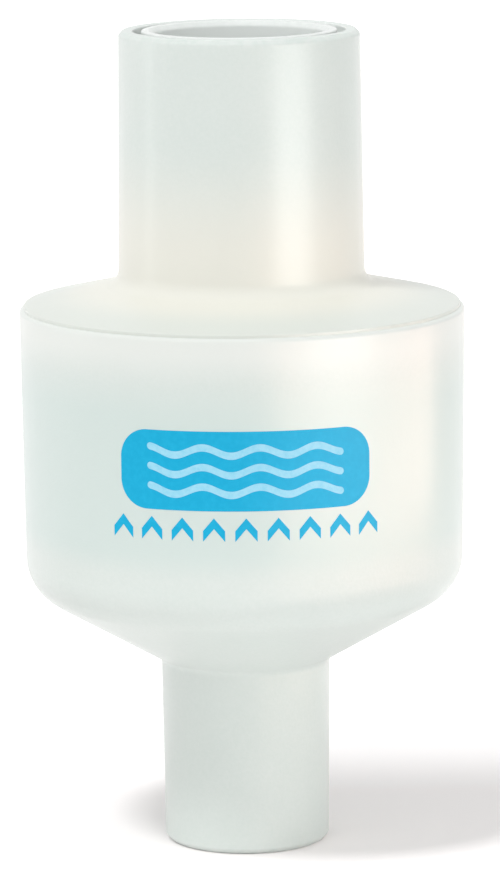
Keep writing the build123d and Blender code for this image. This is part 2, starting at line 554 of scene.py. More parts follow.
def rounded(corners: Sequence[Corner]) -> list[Vector]:
    """Round the corners of a closed outline.

    Args:
        corners: The outline's corners in order.

    Returns:
        The outline's points.
    """
    points: list[Vector] = []
    for index, corner in enumerate(corners):
        here = corner.point()
        if not corner.fillet:
            points.append(here)
            continue
        to_last = (corners[index - 1].point() - here).normalized()
        to_next = (corners[(index + 1) % len(corners)].point() - here).normalized()
        half = math.acos(max(-1.0, min(1.0, to_last.dot(to_next)))) / 2
        centre = here + (to_last + to_next).normalized() * (corner.fillet / math.sin(half))
        start = here + to_last * (corner.fillet / math.tan(half)) - centre
        end = here + to_next * (corner.fillet / math.tan(half)) - centre
        sweep = start.angle_signed(end)
        steps = max(2, math.ceil(abs(sweep) / ARC_STEP))
        for step in range(steps + 1):
            turn = Matrix.Rotation(-sweep * step / steps, 2)
            points.append(centre + turn @ start)
    return points


def mesh_object(name: str, mesh: Mesh, material: Material) -> bpy.types.Object:
    """Link a mesh to the scene as a smooth object with one material.

    Args:
        name: The piece's name.
        mesh: Its mesh, in metres and in place.
        material: Its finish.

    Returns:
        The new object.
    """
    made = bpy.data.objects.new(name, mesh)
    bpy.context.scene.collection.objects.link(made)
    mesh.materials.clear()
    mesh.materials.append(material)
    mesh.polygons.foreach_set("material_index", [0] * len(mesh.polygons))
    mesh.shade_smooth()
    mesh.set_sharp_from_angle(angle=SHARP_ANGLE)
    return made


def place_piece(
    name: str,
    mesh: Mesh,
    material: Material,
    node: str | None = None,
) -> bpy.types.Object:
    """Link a piece that rides on the part's one body.

    Args:
        name: The piece's name.
        mesh: Its mesh, in metres and in place.
        material: Its finish.
        node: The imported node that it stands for.

    Returns:
        The new object.
    """
    made = mesh_object(name, mesh, material)
    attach(made, ROOT_BODY)
    if node:
        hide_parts(node)
    log.info("%s: %d faces, in place of %s", name, len(mesh.polygons), node or "nothing")
    return made


def finished_mesh(shape: bmesh.types.BMesh, name: str) -> Mesh:
    """Turn a closed shape, which is freed, into a mesh with its faces pointing outwards."""
    bmesh.ops.recalc_face_normals(shape, faces=shape.faces)
    mesh = bpy.data.meshes.new(name)
    shape.to_mesh(mesh)
    shape.free()
    return mesh


def lathe(
    name: str, outline: Sequence[Vector], segments: int, closed: bool = True
) -> Mesh:
    """Turn an outline round the Z axis.

    Args:
        name: The mesh's name.
        outline: Radius and height of each point, in millimetres.
        segments: Steps round the axis.
        closed: Whether the last point joins the first. If not, both lie on the axis.

    Returns:
        The closed mesh, in metres.
    """
    shape = bmesh.new()
    rings = []
    for point in outline:
        count = segments if point.x > 0 else 1
        radius, height = point.x * MM, point.y * MM
        angles = [TURN * step / count for step in range(count)]
        spots = ((radius * math.cos(a), radius * math.sin(a), height) for a in angles)
        rings.append([shape.verts.new(spot) for spot in spots])
    pairs = list(zip(rings, rings[1:] + rings[:1]))
    for low, high in pairs if closed else pairs[:-1]:
        for step in range(segments):
            after = (step + 1) % segments
            corners = [low[step % len(low)], low[after % len(low)]]
            corners += [high[after % len(high)], high[step % len(high)]]
            shape.faces.new(list(dict.fromkeys(corners)))
    return finished_mesh(shape, name)


def skinned(loops: Sequence[Sequence[Point3]], name: str) -> Mesh:
    """Join like loops of points to a closed tube.

    Args:
        loops: The loops in order, each with its points in millimetres.
        name: The mesh's name.

    Returns:
        The closed mesh, in metres.
    """
    shape = bmesh.new()
    rows = [
        [shape.verts.new([length * MM for length in point]) for point in loop] for loop in loops
    ]
    for row, last in zip(rows[1:], rows):
        for index in range(len(row)):
            after = (index + 1) % len(row)
            shape.faces.new((last[index], last[after], row[after], row[index]))
    shape.faces.new(rows[0])
    shape.faces.new(rows[-1][::-1])
    return finished_mesh(shape, name)


def plate(outline: Sequence[Point], width: float) -> Mesh:
    """Make a flat plate of a given thickness from X and Z of its corners."""
    return skinned([[(x, side * width / 2, z) for x, z in outline] for side in (-1, 1)], "plate")


def band(
    low: Callable[[float], float],
    high: Callable[[float], float],
    half_width: float,
    thickness: float,
    step: float = 0.25,
) -> Mesh:
    """Make a thin flat sheet in the XZ plane between two lines, in narrow columns that can be bent.

    Args:
        low: The lower line's height at each place across, in millimetres.
        high: The upper line's height.
        half_width: Half of the sheet's width, in millimetres.
        thickness: Its thickness along Y, towards the viewer, in millimetres.
        step: The columns' width, in millimetres.

    Returns:
        The closed mesh, in metres.
    """
    count = math.ceil(2 * half_width / step)
    corners = [(0, low), (0, high), (-thickness, high), (-thickness, low)]
    places = [half_width * math.sin(math.pi * (index / count - 0.5)) for index in range(count + 1)]
    return skinned([[(x, depth, line(x)) for depth, line in corners] for x in places], "band")


class GeometryTree(NodeMaker):
    """A Geometry Nodes tree with named inputs, which turns into a plain mesh."""

    prefix = "GeometryNode"

    def __init__(self, name: str, inputs: dict[str, float | int]) -> None:
        """Start a tree with one socket for each input.

        Args:
            name: The tree's name.
            inputs: Values of the named inputs.
        """
        super().__init__(bpy.data.node_groups.new(name, "GeometryNodeTree"))
        self.values = inputs
        face = self.tree.interface
        face.new_socket("Geometry", in_out="INPUT", socket_type="NodeSocketGeometry")
        for key, value in inputs.items():
            kind = "NodeSocketInt" if isinstance(value, int) else "NodeSocketFloat"
            face.new_socket(key, in_out="INPUT", socket_type=kind)
        face.new_socket("Geometry", in_out="OUTPUT", socket_type="NodeSocketGeometry")
        self.entry = self.tree.nodes.new("NodeGroupInput")

    def given(self, name: str) -> Wire:
        """Return a named input."""
        return Wire(self, self.entry.outputs[name])

    def reading(self, kind: str) -> Wire:
        """Return what an input node reads, such as each point's index."""
        return Wire(self, self.form(kind))

    def random(self, low: float, high: float, seed: Wire) -> Wire:
        """Return a random value for each point."""
        made = self.node(
            "FunctionNodeRandomValue", {"data_type": "FLOAT"}, {2: low, 3: high, "Seed": seed}
        )
        return Wire(self, made.outputs[1])

    def close(self, geometry: Socket, material: Material) -> None:
        """Realize what the tree made, set its material and link it to the output."""
        solid = self.form("RealizeInstances", Geometry=geometry)
        dressed = self.form("SetMaterial", Geometry=solid, Material=material)
        self.node("NodeGroupOutput", None, {"Geometry": dressed})

    def run(self, mesh: Mesh, name: str) -> Mesh:
        """Evaluate the tree on a mesh.

        Args:
            mesh: The mesh that enters the tree.
            name: The new mesh's name.

        Returns:
            The result as a plain mesh.
        """
        holder = bpy.data.objects.new(name, mesh)
        bpy.context.scene.collection.objects.link(holder)
        modifier = holder.modifiers.new(name, "NODES")
        modifier.node_group = self.tree
        for item in self.tree.interface.items_tree:
            if item.in_out == "INPUT" and item.name in self.values:
                modifier[item.identifier] = self.values[item.name]
        graph = bpy.context.evaluated_depsgraph_get()
        made = bpy.data.meshes.new_from_object(holder.evaluated_get(graph))
        bpy.data.objects.remove(holder)
        made.name = name
        return made


@dataclass(frozen=True)
class Ring:
    """A count of like ribs, evenly spaced round the Z axis from a first angle in degrees."""

    count: int
    first_angle: float


def add_round(
    body: Mesh, rib: Mesh, ring: Ring, material: Material
) -> Mesh:
    """Fuse copies of a rib with a body.

    Args:
        body: The closed body.
        rib: One closed rib at angle 0.
        ring: How many ribs there are, and where the first one stands.
        material: The body's finish.

    Returns:
        The fused mesh.
    """
    holder = bpy.data.objects.new("rib", rib)
    tree = GeometryTree(
        "ribs_round", {"Count": ring.count, "First angle": math.radians(ring.first_angle)}
    )
    info = tree.form("ObjectInfo", {"transform_space": "ORIGINAL"}, Object=holder).node
    count = tree.given("Count")
    angle = tree.reading("InputIndex") * TURN / count + tree.given("First angle")
    copies = tree.form(
        "InstanceOnPoints",
        Points=tree.form("Points", Count=count),
        Instance=info.outputs["Geometry"],
        Rotation=tree.join(0.0, 0.0, angle),
    )
    ribs = tree.form("RealizeInstances", Geometry=copies)
    exact_union = {"operation": "UNION", "solver": "EXACT"}
    fused = tree.form("MeshBoolean", exact_union, Mesh_2=[tree.given("Geometry"), ribs])
    tree.close(fused, material)
    made = tree.run(body, body.name)
    bpy.data.objects.remove(holder)
    return made


@dataclass
class Housings:
    """The cup and the lid, in millimetres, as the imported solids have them."""

    machine_tip: float = 7.535
    machine_wall: float = 1.7
    machine_length: float = 17.0
    machine_root_round: float = 0.8
    tip_chamfer: float = 0.4
    cone_rise: float = 7.1
    foot_radius: float = 19.99
    foot_round: float = 4.4
    mouth_radius: float = 20.255
    rim_round: float = 0.42
    cup_wall: float = 1.6
    inner_foot_round: float = 1.8
    bore_top_round: float = 0.6
    recess: float = 0.6
    lid_wall: float = 1.5
    lid_inset: float = 0.4
    lid_rim: float = 0.3
    lid_rise: float = 1.95
    lid_edge_round: float = 0.14
    plug_wall: float = 1.25
    plug_clearance: float = 0.1
    plug_lead_in: float = 0.3
    patient_tip: float = 10.92
    patient_wall: float = 1.3
    patient_length: float = 22.9
    patient_root_round: float = 1.6
    socket_mouth: float = 7.75
    socket_depth: float = 16.5
    socket_lead_in: float = 0.4
    socket_wall: float = 1.1
    stop_step: float = 0.35
    stop_round: float = 0.12
    throat_flare: float = 1.0
    port_web: float = 2.2
    edge_round: float = 0.18
    inner_round: float = 0.3
    fin_width: float = 0.9
    seat_fin_inset: float = 0.6
    lid_fin_inset: float = 1.5
    fins: Ring = Ring(8, 22.5)
    gap_ribs: Ring = Ring(3, -30)
    gap_rib_width: float = 0.8
    gap_rib_drop: float = 3.0
    scuffed_rim: float = 0.9
    # Painted light reaches this far past the ring gap.
    bore_light_margin: float = 0.1
    # Painted shade: the cup's wall is darker over the height of the roll behind it.
    painted_roll_shade: Tint = Tint((1.5, 4.5, -3.0, 1.5), (0.700, 0.805, 0.770))
    # Painted light: the cup's wall is paler between the roll's top and the seam.
    painted_seam_light: Tint = Tint((0.0, 3.6, 0.0, 1.0), (0.86, 0.90, 0.86))
    # Painted light: the lid's shoulder is paler and warmer, in place of light from above.
    painted_shoulder_light: Tint = Tint((-2.0, -1.0, 1.0, 5.0), (0.805, 0.845, 0.790))
    # Painted light: the port's foot is paler and warmer, in place of light bounced off the shoulder.
    painted_port_foot_light: Tint = Tint((-1.6, -0.4, 3.0, 14.0), (0.905, 0.905, 0.825))
    segments: int = 160

    def __post_init__(self) -> None:
        """Work out the heights and radii that follow from the driving sizes and the frame."""
        self.roll_low, self.roll_high = (corner.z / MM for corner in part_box("exchange_roll"))
        self.plug_end, self.top = (corner.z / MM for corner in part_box("upper_housing"))
        self.pad_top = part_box("filter_pad")[1].z / MM
        self.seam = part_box("lower_housing")[1].z / MM
        self.foot = self.machine_length + self.cone_rise
        self.lid_edge = self.seam + self.lid_rim
        self.lid_edge_radius = self.mouth_radius - self.lid_inset
        self.port_root = self.lid_edge + self.lid_rise
        self.machine_root = self.machine_tip + (self.machine_length - self.tip_chamfer) * CONE_SLOPE
        self.patient_root = self.patient_tip + (self.patient_length - self.tip_chamfer) * CONE_SLOPE
        self.side_slope = (self.mouth_radius - self.foot_radius) / (self.seam - self.foot)
        self.cone_slope = (self.foot_radius - self.machine_root) / self.cone_rise
        self.cone_lift = self.cup_wall / math.cos(math.atan2(1, self.cone_slope))
        self.shoulder_fall = self.lid_rise / (self.lid_edge_radius - self.patient_root)
        self.shoulder_drop = self.lid_wall / math.cos(math.atan(self.shoulder_fall))
        self.inner_foot_radius, self.inner_foot = self.cone_meets(
            self.foot_radius - self.cup_wall, self.foot, self.side_slope
        )
        self.bore_top_radius, self.bore_top = self.cone_meets(
            self.machine_tip - self.machine_wall, 0, CONE_SLOPE
        )
        self.ledge_radius = self.wall_radius(self.roll_high) - self.cup_wall
        self.recess_radius = self.ledge_radius + self.recess
        self.plug_radius = self.recess_radius - self.plug_clearance
        self.plug_inner = self.plug_radius - self.plug_wall
        self.gap_inner = self.socket_mouth + self.socket_wall
        self.gap_outer = self.patient_tip - self.patient_wall
        self.stop = self.top - self.socket_depth
        run = self.socket_depth - self.socket_lead_in
        self.socket_end = self.socket_mouth - run * CONE_SLOPE
        self.throat = self.socket_end - self.stop_step

    def cone_meets(self, radius: float, height: float, slope: float) -> Point:
        """Find where the inside of the cup's cone meets another inner surface.

        Args:
            radius: Radius of a point on that surface.
            height: Height of that point.
            slope: The surface's radius per height.

        Returns:
            Radius and height of the corner.
        """
        lifted = self.foot + self.cone_lift
        rise = radius - self.foot_radius + self.cone_slope * lifted - slope * height
        corner_height = rise / (self.cone_slope - slope)
        return radius + slope * (corner_height - height), corner_height

    def wall_radius(self, height: float) -> float:
        """Return the radius of the cup's outer wall at a height."""
        return self.foot_radius + self.side_slope * (height - self.foot)

    def underside(self, radius: float) -> float:
        """Return the height of the lid's underside at a radius."""
        drop = self.shoulder_fall * (self.lid_edge_radius - radius)
        return self.lid_edge - self.shoulder_drop + drop

    def cup_outline(self) -> list[Vector]:
        """Return the cup's turned outline."""
        corners = [
            (self.machine_tip - self.machine_wall, 0, self.edge_round),
            (self.machine_tip - self.tip_chamfer, 0, self.edge_round),
            (self.machine_tip, self.tip_chamfer, self.tip_chamfer),
            (self.machine_root, self.machine_length, self.machine_root_round),
            (self.foot_radius, self.foot, self.foot_round),
            (self.mouth_radius, self.seam, self.rim_round),
            (self.recess_radius, self.seam),
            (self.recess_radius, self.roll_high),
            (self.ledge_radius, self.roll_high),
            (self.inner_foot_radius, self.inner_foot, self.inner_foot_round),
            (self.bore_top_radius, self.bore_top, self.bore_top_round),
        ]
        return rounded([Corner(*corner) for corner in corners])

    def lid_outline(self) -> list[Vector]:
        """Return the lid's turned outline."""
        flare = self.throat + self.throat_flare
        gap_floor = self.underside(self.gap_outer) + self.port_web
        corners = [
            (flare, self.underside(flare), self.inner_round),
            (self.plug_inner, self.underside(self.plug_inner), self.inner_round),
            (self.plug_inner, self.plug_end, self.edge_round),
            (self.plug_radius - self.plug_lead_in, self.plug_end),
            (self.plug_radius, self.plug_end + self.plug_lead_in),
            (self.plug_radius, self.seam),
            (self.lid_edge_radius, self.seam),
            (self.lid_edge_radius, self.lid_edge, self.lid_edge_round),
            (self.patient_root, self.port_root, self.patient_root_round),
            (self.patient_tip, self.top - self.tip_chamfer, self.tip_chamfer),
            (self.patient_tip - self.tip_chamfer, self.top, self.edge_round),
            (self.gap_outer, self.top, self.edge_round),
            (self.gap_outer, gap_floor, self.inner_round),
            (self.gap_inner, gap_floor, self.inner_round),
            (self.gap_inner, self.top, self.edge_round),
            (self.socket_mouth + self.socket_lead_in, self.top, self.edge_round),
            (self.socket_mouth, self.top - self.socket_lead_in, self.socket_lead_in),
            (self.socket_end, self.stop),
            (self.throat, self.stop, self.stop_round),
            (self.throat, self.underside(self.throat) + self.throat_flare, self.inner_round),
        ]
        return rounded([Corner(*corner) for corner in corners])

    def seat_fin_outline(self) -> list[Point]:
        """Return radius and height of the corners of one fin under the roll."""
        start = self.bore_top_radius + self.seat_fin_inset
        wall = self.inner_foot_radius + self.cup_wall / 2
        sunk = self.cone_lift / 2
        root = self.bore_top + self.seat_fin_inset / self.cone_slope - sunk
        return [
            (start, root),
            (self.inner_foot_radius, self.inner_foot - sunk),
            (wall, self.inner_foot),
            (wall, self.roll_low),
            (start, self.roll_low),
        ]

    def lid_fin_outline(self) -> list[Point]:
        """Return radius and height of the corners of one fin over the pad."""
        start = self.throat + self.lid_fin_inset
        end = self.plug_inner + self.plug_wall / 2
        sunk = self.shoulder_drop / 2
        return [
            (start, self.pad_top),
            (end, self.pad_top),
            (end, self.underside(end) + sunk),
            (start, self.underside(start) + sunk),
        ]

    def gap_rib_outline(self) -> list[Point]:
        """Return radius and height of the corners of one rib in the port's ring gap."""
        low = self.underside(self.gap_outer) + self.port_web / 2
        high = self.top - self.gap_rib_drop
        inner = self.gap_inner - self.socket_wall / 4
        outer = self.gap_outer + self.socket_wall / 4
        return [(inner, low), (outer, low), (outer, high), (inner, high)]

    def build(self) -> None:
        """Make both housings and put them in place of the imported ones."""
        self._cup()
        self._lid()

    def _cup(self) -> None:
        """Make the cup, with painted shade where the roll stands behind its wall and painted light
        between the roll and the seam.
        """
        zones = (
            Zone(self.roll_low, self.roll_high, self.painted_roll_shade),
            Zone(self.roll_high, self.seam, self.painted_seam_light),
        )
        finish = FrostedPlastic("frosted_cup", 0.0, self.scuffed_rim * MM, zones).make()
        cup = lathe("cup_shell", self.cup_outline(), self.segments)
        cup = add_round(cup, plate(self.seat_fin_outline(), self.fin_width), self.fins, finish)
        place_piece("frosted_cup", cup, finish, "lower_housing")

    def _lid(self) -> None:
        """Make the lid, with painted light on its shoulder, at the port's foot and inside the port's
        bore.
        """
        zones = (
            Zone(self.lid_edge, self.lid_edge, self.painted_shoulder_light),
            Zone(self.port_root, self.port_root, self.painted_port_foot_light),
        )
        finish = FrostedPlastic(
            "frosted_lid",
            self.top * MM,
            (self.top - self.scuffed_rim) * MM,
            zones,
            bore_radius=(self.gap_outer + self.bore_light_margin) * MM,
            bore_floor=self.pad_top * MM,
        ).make()
        lid = lathe("lid_shell", self.lid_outline(), self.segments)
        lid = add_round(lid, plate(self.lid_fin_outline(), self.fin_width), self.fins, finish)
        gap_rib = plate(self.gap_rib_outline(), self.gap_rib_width)
        lid = add_round(lid, gap_rib, self.gap_ribs, finish)
        place_piece("frosted_lid", lid, finish, "upper_housing")


@dataclass
class ExchangeRoll:
    """Corrugated paper strip wound to a roll, in millimetres."""

    outer_radius: float = 17.85
    start_radius: float = 4.15
    turn_pitch: float = 1.75
    flute_pitch: float = 2.9
    paper: float = 0.2
    unevenness: float = 0.16
    drift_length: float = 9.0
    flute_drift: float = 0.35
    points_per_flute: int = 12
    liner_points_per_flute: int = 4

    def build(self) -> None:
        """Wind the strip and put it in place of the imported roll."""
        low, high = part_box("exchange_roll")
        finish = PaperFinish("corrugated_paper", low.z, high.z).make()
        length = math.pi * (self.outer_radius**2 - self.start_radius**2) / self.turn_pitch
        tree = GeometryTree(
            "wound_strip",
            {
                "Length": length * MM,
                "Start radius": self.start_radius * MM,
                "Turn pitch": self.turn_pitch * MM,
                "Flute pitch": self.flute_pitch * MM,
                "Flute drift": self.flute_drift,
                "Paper": self.paper * MM,
                "Unevenness": self.unevenness * MM,
                "Strip height": high.z - low.z,
                "Base height": low.z,
            },
        )
        flutes = length / self.flute_pitch
        liner = self._ply(tree, round(flutes * self.liner_points_per_flute), False)
        waves = self._ply(tree, round(flutes * self.points_per_flute), True)
        tree.close(tree.form("JoinGeometry", Geometry=[liner, waves]), finish)
        strip = tree.run(bpy.data.meshes.new("nothing"), "exchange_strip")
        place_piece("exchange_strip", strip, finish, "exchange_roll")

    def _ply(self, tree: GeometryTree, points: int, fluted: bool) -> Socket:
        """Add one ply of the strip to the tree.

        Args:
            tree: The roll's tree.
            points: How many points the ply's line has.
            fluted: Whether it is the wavy ply inside each turn or the smooth one outside it.

        Returns:
            The ply's mesh.
        """
        line = tree.form("ResampleCurve", Curve=tree.form("CurvePrimitiveLine"), Count=points)
        run = tree.reading("SplineParameter") * tree.given("Length")
        start, pitch = tree.given("Start radius"), tree.given("Turn pitch")
        paper, flute = tree.given("Paper"), tree.given("Flute pitch")
        radius = tree.math("SQRT", start * start + run * pitch / math.pi)
        angle = (radius - start) / pitch * TURN
        drift = tree.noise(tree.join(run, 0.0, 0.0), 1 / (self.drift_length * MM), 1.0) - 0.5
        if fluted:
            wobble = drift * flute * tree.given("Flute drift")
            wave = tree.math("COSINE", (run + wobble) / flute * TURN)
            radius = radius - pitch / 2 + wave * (pitch / 2 - paper)
        else:
            radius = radius + (drift - 0.5) * tree.given("Unevenness")
        place = tree.join(
            radius * tree.math("COSINE", angle),
            radius * tree.math("SINE", angle),
            tree.given("Base height") + tree.given("Strip height") / 2,
        )
        wound = tree.form("SetPosition", Geometry=line, Position=place)
        upright = tree.form("SetCurveNormal", {"mode": "Z_UP"}, Curve=wound)
        section = tree.form(
            "CurvePrimitiveQuadrilateral",
            {"mode": "RECTANGLE"},
            Width=paper,
            Height=tree.given("Strip height"),
        )
        return tree.form("CurveToMesh", Curve=upright, Profile_Curve=section, Fill_Caps=True)


@dataclass
class FilterPad:
    """Felt disc with matted fibres, pressed thinner at its rim, in millimetres."""

    housings: Housings
    rim_thickness: float = 1.2
    rim_bevel: Point = (0.2, 0.25)
    step_bevel: float = 0.1
    top_bevel: float = 0.35
    clearance: float = 0.15
    ring_step: float = 0.36
    segments: int = 240
    relief: float = 0.22
    lump_size: float = 1.1
    fibre_count: int = 1500
    fibre_radius: float = 0.022
    fibre_reach: float = 1.1
    fibre_sizes: Point = (0.5, 1.15)
    fibre_bow: float = 0.45
    fibre_arch: Point = (-0.05, 0.07)
    edge_reaches: float = 1.6
    seed: int = 7

    def outline(self) -> list[Vector]:
        """Return the pad's turned outline, from the axis round to the axis."""
        low, top = self.housings.roll_high, self.housings.pad_top
        step = self.housings.plug_inner - self.clearance
        rim = self.housings.recess_radius - self.clearance
        thin = low + self.rim_thickness
        inset, bevel = self.rim_bevel
        corners = [
            (0.0, low),
            (rim - inset, low),
            (rim, low + bevel),
            (rim, thin - bevel),
            (rim - inset, thin),
            (step + self.step_bevel, thin),
            (step, thin + self.step_bevel),
            (step, top - self.top_bevel),
            (step - self.top_bevel, top),
            (0.0, top),
        ]
        points = []
        for (x0, z0), (x1, z1) in zip(corners, corners[1:]):
            count = max(1, round(math.hypot(x1 - x0, z1 - z0) / self.ring_step))
            for share in (index / count for index in range(count)):
                points.append(Vector((x0 + (x1 - x0) * share, z0 + (z1 - z0) * share)))
        return [*points, Vector(corners[-1])]

    def build(self) -> None:
        """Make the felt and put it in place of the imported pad."""
        finish = FeltFinish("cream_felt").make()
        tree = GeometryTree(
            "matted_felt",
            {
                "Relief": self.relief * MM,
                "Lump size": self.lump_size * MM,
                "Fibres": self.fibre_count,
                "Fibre radius": self.fibre_radius * MM,
                "Fibre reach": self.fibre_reach * MM,
                "Seed": self.seed,
            },
        )
        place, normal = tree.form("InputPosition"), tree.form("InputNormal")
        lumps = tree.noise(place, 1 / tree.given("Lump size"), 3.0)
        sunk = (lumps - 1.0) * tree.given("Relief")
        push = tree.node(
            "ShaderNodeVectorMath", {"operation": "SCALE"}, {0: normal, "Scale": sunk}
        )
        felt = tree.form("SetPosition", Geometry=tree.given("Geometry"), Offset=push.outputs[0])
        area = math.pi * (self.housings.plug_inner * MM) ** 2
        spread = tree.form(
            "DistributePointsOnFaces",
            {"distribute_method": "RANDOM"},
            Mesh=felt,
            Selection=self._open_face(tree, place),
            Density=tree.given("Fibres") / area,
            Seed=tree.given("Seed"),
        )
        both = tree.form("JoinGeometry", Geometry=[felt, self._fibres(tree, spread)])
        tree.close(both, finish)
        disc = lathe("felt_disc", self.outline(), self.segments, closed=False)
        felt_mesh = tree.run(disc, "felt_pad")
        made = place_piece("felt_pad", felt_mesh, finish, "filter_pad")

    def _open_face(self, tree: GeometryTree, place: Socket) -> Wire:
        """Tell the upper face, away from its edge, from the rest.

        Args:
            tree: The pad's tree.
            place: Each point's position.

        Returns:
            1 on the open part of the upper face, and 0 elsewhere.
        """
        across, depth, height = tree.split(place)
        limit = self.housings.plug_inner * MM - tree.given("Fibre reach") * self.edge_reaches
        lowest = (self.housings.pad_top - 3 * self.relief) * MM
        upper = tree.math("GREATER_THAN", height, lowest)
        return upper * tree.math("LESS_THAN", tree.length(across, depth), limit)

    def _fibres(self, tree: GeometryTree, points: Socket) -> Socket:
        """Lay curved fibres on the felt.

        Args:
            tree: The pad's tree.
            points: The points that the felt's faces carry.

        Returns:
            The fibres as instances.
        """
        reach, seed = tree.given("Fibre reach"), tree.given("Seed")
        end_rise, middle_rise = self.fibre_arch
        bow = tree.form(
            "CurveQuadraticBezier",
            Resolution=5,
            Start=tree.join(reach * -1.0, 0.0, reach * end_rise),
            Middle=tree.join(0.0, reach * self.fibre_bow, reach * middle_rise),
            End=tree.join(reach, 0.0, reach * end_rise),
        )
        section = tree.form(
            "CurvePrimitiveCircle",
            {"mode": "RADIUS"},
            Resolution=3,
            Radius=tree.given("Fibre radius"),
        )
        strand = tree.form("CurveToMesh", Curve=bow, Profile_Curve=section, Fill_Caps=True)
        twist = tree.node(
            "FunctionNodeRotateRotation",
            {"rotation_space": "LOCAL"},
            {
                "Rotation": points.node.outputs["Rotation"],
                "Rotate By": tree.join(0.0, 0.0, tree.random(0.0, TURN, seed)),
            },
        )
        return tree.form(
            "InstanceOnPoints",
            Points=points,
            Instance=strand,
            Rotation=twist.outputs[0],
            Scale=tree.random(*self.fibre_sizes, seed + 1),
        )


@dataclass(frozen=True)
class Row:
    """Like motifs in a row, in millimetres: their count, the step across and up, and the middle."""

    count: int
    pitch: Point
    centre: Point


@dataclass
class FlowMark:
    """The mark printed on the cup's front: a band with pale waves over a row of arrowheads."""

    housings: Housings
    centre: Point = (0.18, 37.85)
    band_half_width: float = 11.55
    band_half_height: float = 3.55
    end_round: float = 2.6
    wave_count: int = 3
    wave_pitch: float = 1.75
    wave_half_width: float = 8.9
    wave_length: float = 5.07
    wave_swing: float = 0.36
    wave_thickness: float = 0.66
    wave_step: float = 0.12
    least_end: float = 0.001
    arrow_count: int = 9
    arrow_pitch: float = 2.85
    arrow_height: float = 32.05
    arrow_half_width: float = 0.98
    arrow_rise: float = 1.15
    arrow_thickness: float = 0.95
    ink: float = 0.02

    def build(self) -> None:
        """Print both inks on the cup's wall."""
        blue, pale = (PrintInk(f"ink_{ink.name.lower()}", ink).make() for ink in InkColour)
        arrows = Row(self.arrow_count, (self.arrow_pitch, 0.0), (self.centre[0], self.arrow_height))
        shape = bmesh.new()
        for motif, row in (
            (self._band(), Row(1, (0.0, 0.0), self.centre)),
            (self._arrowhead(), arrows),
        ):
            shape.from_mesh(self._printed(motif, row, 0.0, blue))
        place_piece("blue_mark", finished_mesh(shape, "blue_mark"), blue)
        strokes = Row(self.wave_count, (0.0, self.wave_pitch), self.centre)
        waves = self._printed(self._wave(), strokes, self.ink, pale)
        place_piece("pale_waves", waves, pale)

    def _band(self) -> Mesh:
        """Return the flat band with its round ends."""

        def half_height(across: float) -> float:
            """Return half of the band's height at a place across."""
            into_end = max(0.0, abs(across) - self.band_half_width + self.end_round)
            drop = self.end_round - math.sqrt(max(0.0, self.end_round**2 - into_end**2))
            return self.band_half_height - drop

        return band(
            lambda across: -half_height(across), half_height, self.band_half_width, self.ink
        )

    def _wave(self) -> Mesh:
        """Return one flat wave stroke with tapered ends."""

        def middle(across: float) -> float:
            """Return the height of the stroke's middle line."""
            return self.wave_swing * math.sin(TURN * across / self.wave_length)

        def half(across: float) -> float:
            """Return half of the stroke's thickness."""
            share = min(1.0, (self.wave_half_width - abs(across)) / (self.wave_thickness / 2))
            return self.wave_thickness / 2 * math.sqrt(max(self.least_end, 1 - (1 - share) ** 2))

        return band(
            lambda across: middle(across) - half(across),
            lambda across: middle(across) + half(across),
            self.wave_half_width,
            self.ink,
            self.wave_step,
        )

    def _arrowhead(self) -> Mesh:
        """Return one flat arrowhead that points up the gas path."""

        def crown(across: float) -> float:
            """Return the height of the arrowhead's middle line."""
            return self.arrow_rise * (1 - abs(across) / self.arrow_half_width)

        return band(
            lambda across: crown(across) - self.arrow_thickness / 2,
            lambda across: crown(across) + self.arrow_thickness / 2,
            self.arrow_half_width,
            self.ink,
            self.arrow_half_width / 4,
        )

    def _printed(
        self, motif: Mesh, row: Row, lift: float, material: Material
    ) -> Mesh:
        """Repeat a flat motif in a row and wrap it round the cup's wall.

        Args:
            motif: The flat motif round the origin.
            row: How it repeats.
            lift: How far its back stands off the wall, in millimetres.
            material: The ink.

        Returns:
            The wrapped mesh.
        """
        tree = GeometryTree(
            "wrapped_row",
            {
                "Count": row.count,
                "Pitch across": row.pitch[0] * MM,
                "Pitch up": row.pitch[1] * MM,
                "Centre across": row.centre[0] * MM,
                "Centre up": row.centre[1] * MM,
                "Wall radius": self.housings.wall_radius(0) * MM,
                "Wall slope": self.housings.side_slope,
                "Lift": lift * MM,
            },
        )
        rank = tree.reading("InputIndex") - (tree.given("Count") - 1) / 2
        spot = tree.join(
            rank * tree.given("Pitch across") + tree.given("Centre across"),
            0.0,
            rank * tree.given("Pitch up") + tree.given("Centre up"),
        )
        points = tree.form("Points", Count=tree.given("Count"))
        placed = tree.form("SetPosition", Geometry=points, Position=spot)
        copies = tree.form("InstanceOnPoints", Points=placed, Instance=tree.given("Geometry"))
        flat = tree.form("RealizeInstances", Geometry=copies)
        across, depth, up = tree.split(tree.form("InputPosition"))
        wall = tree.given("Wall radius") + up * tree.given("Wall slope")
        angle = across / wall
        radius = wall + tree.given("Lift") - depth
        bent = tree.join(
            radius * tree.math("SINE", angle), radius * tree.math("COSINE", angle) * -1.0, up
        )
        tree.close(tree.form("SetPosition", Geometry=flat, Position=bent), material)
        return tree.run(motif, "wrapped")


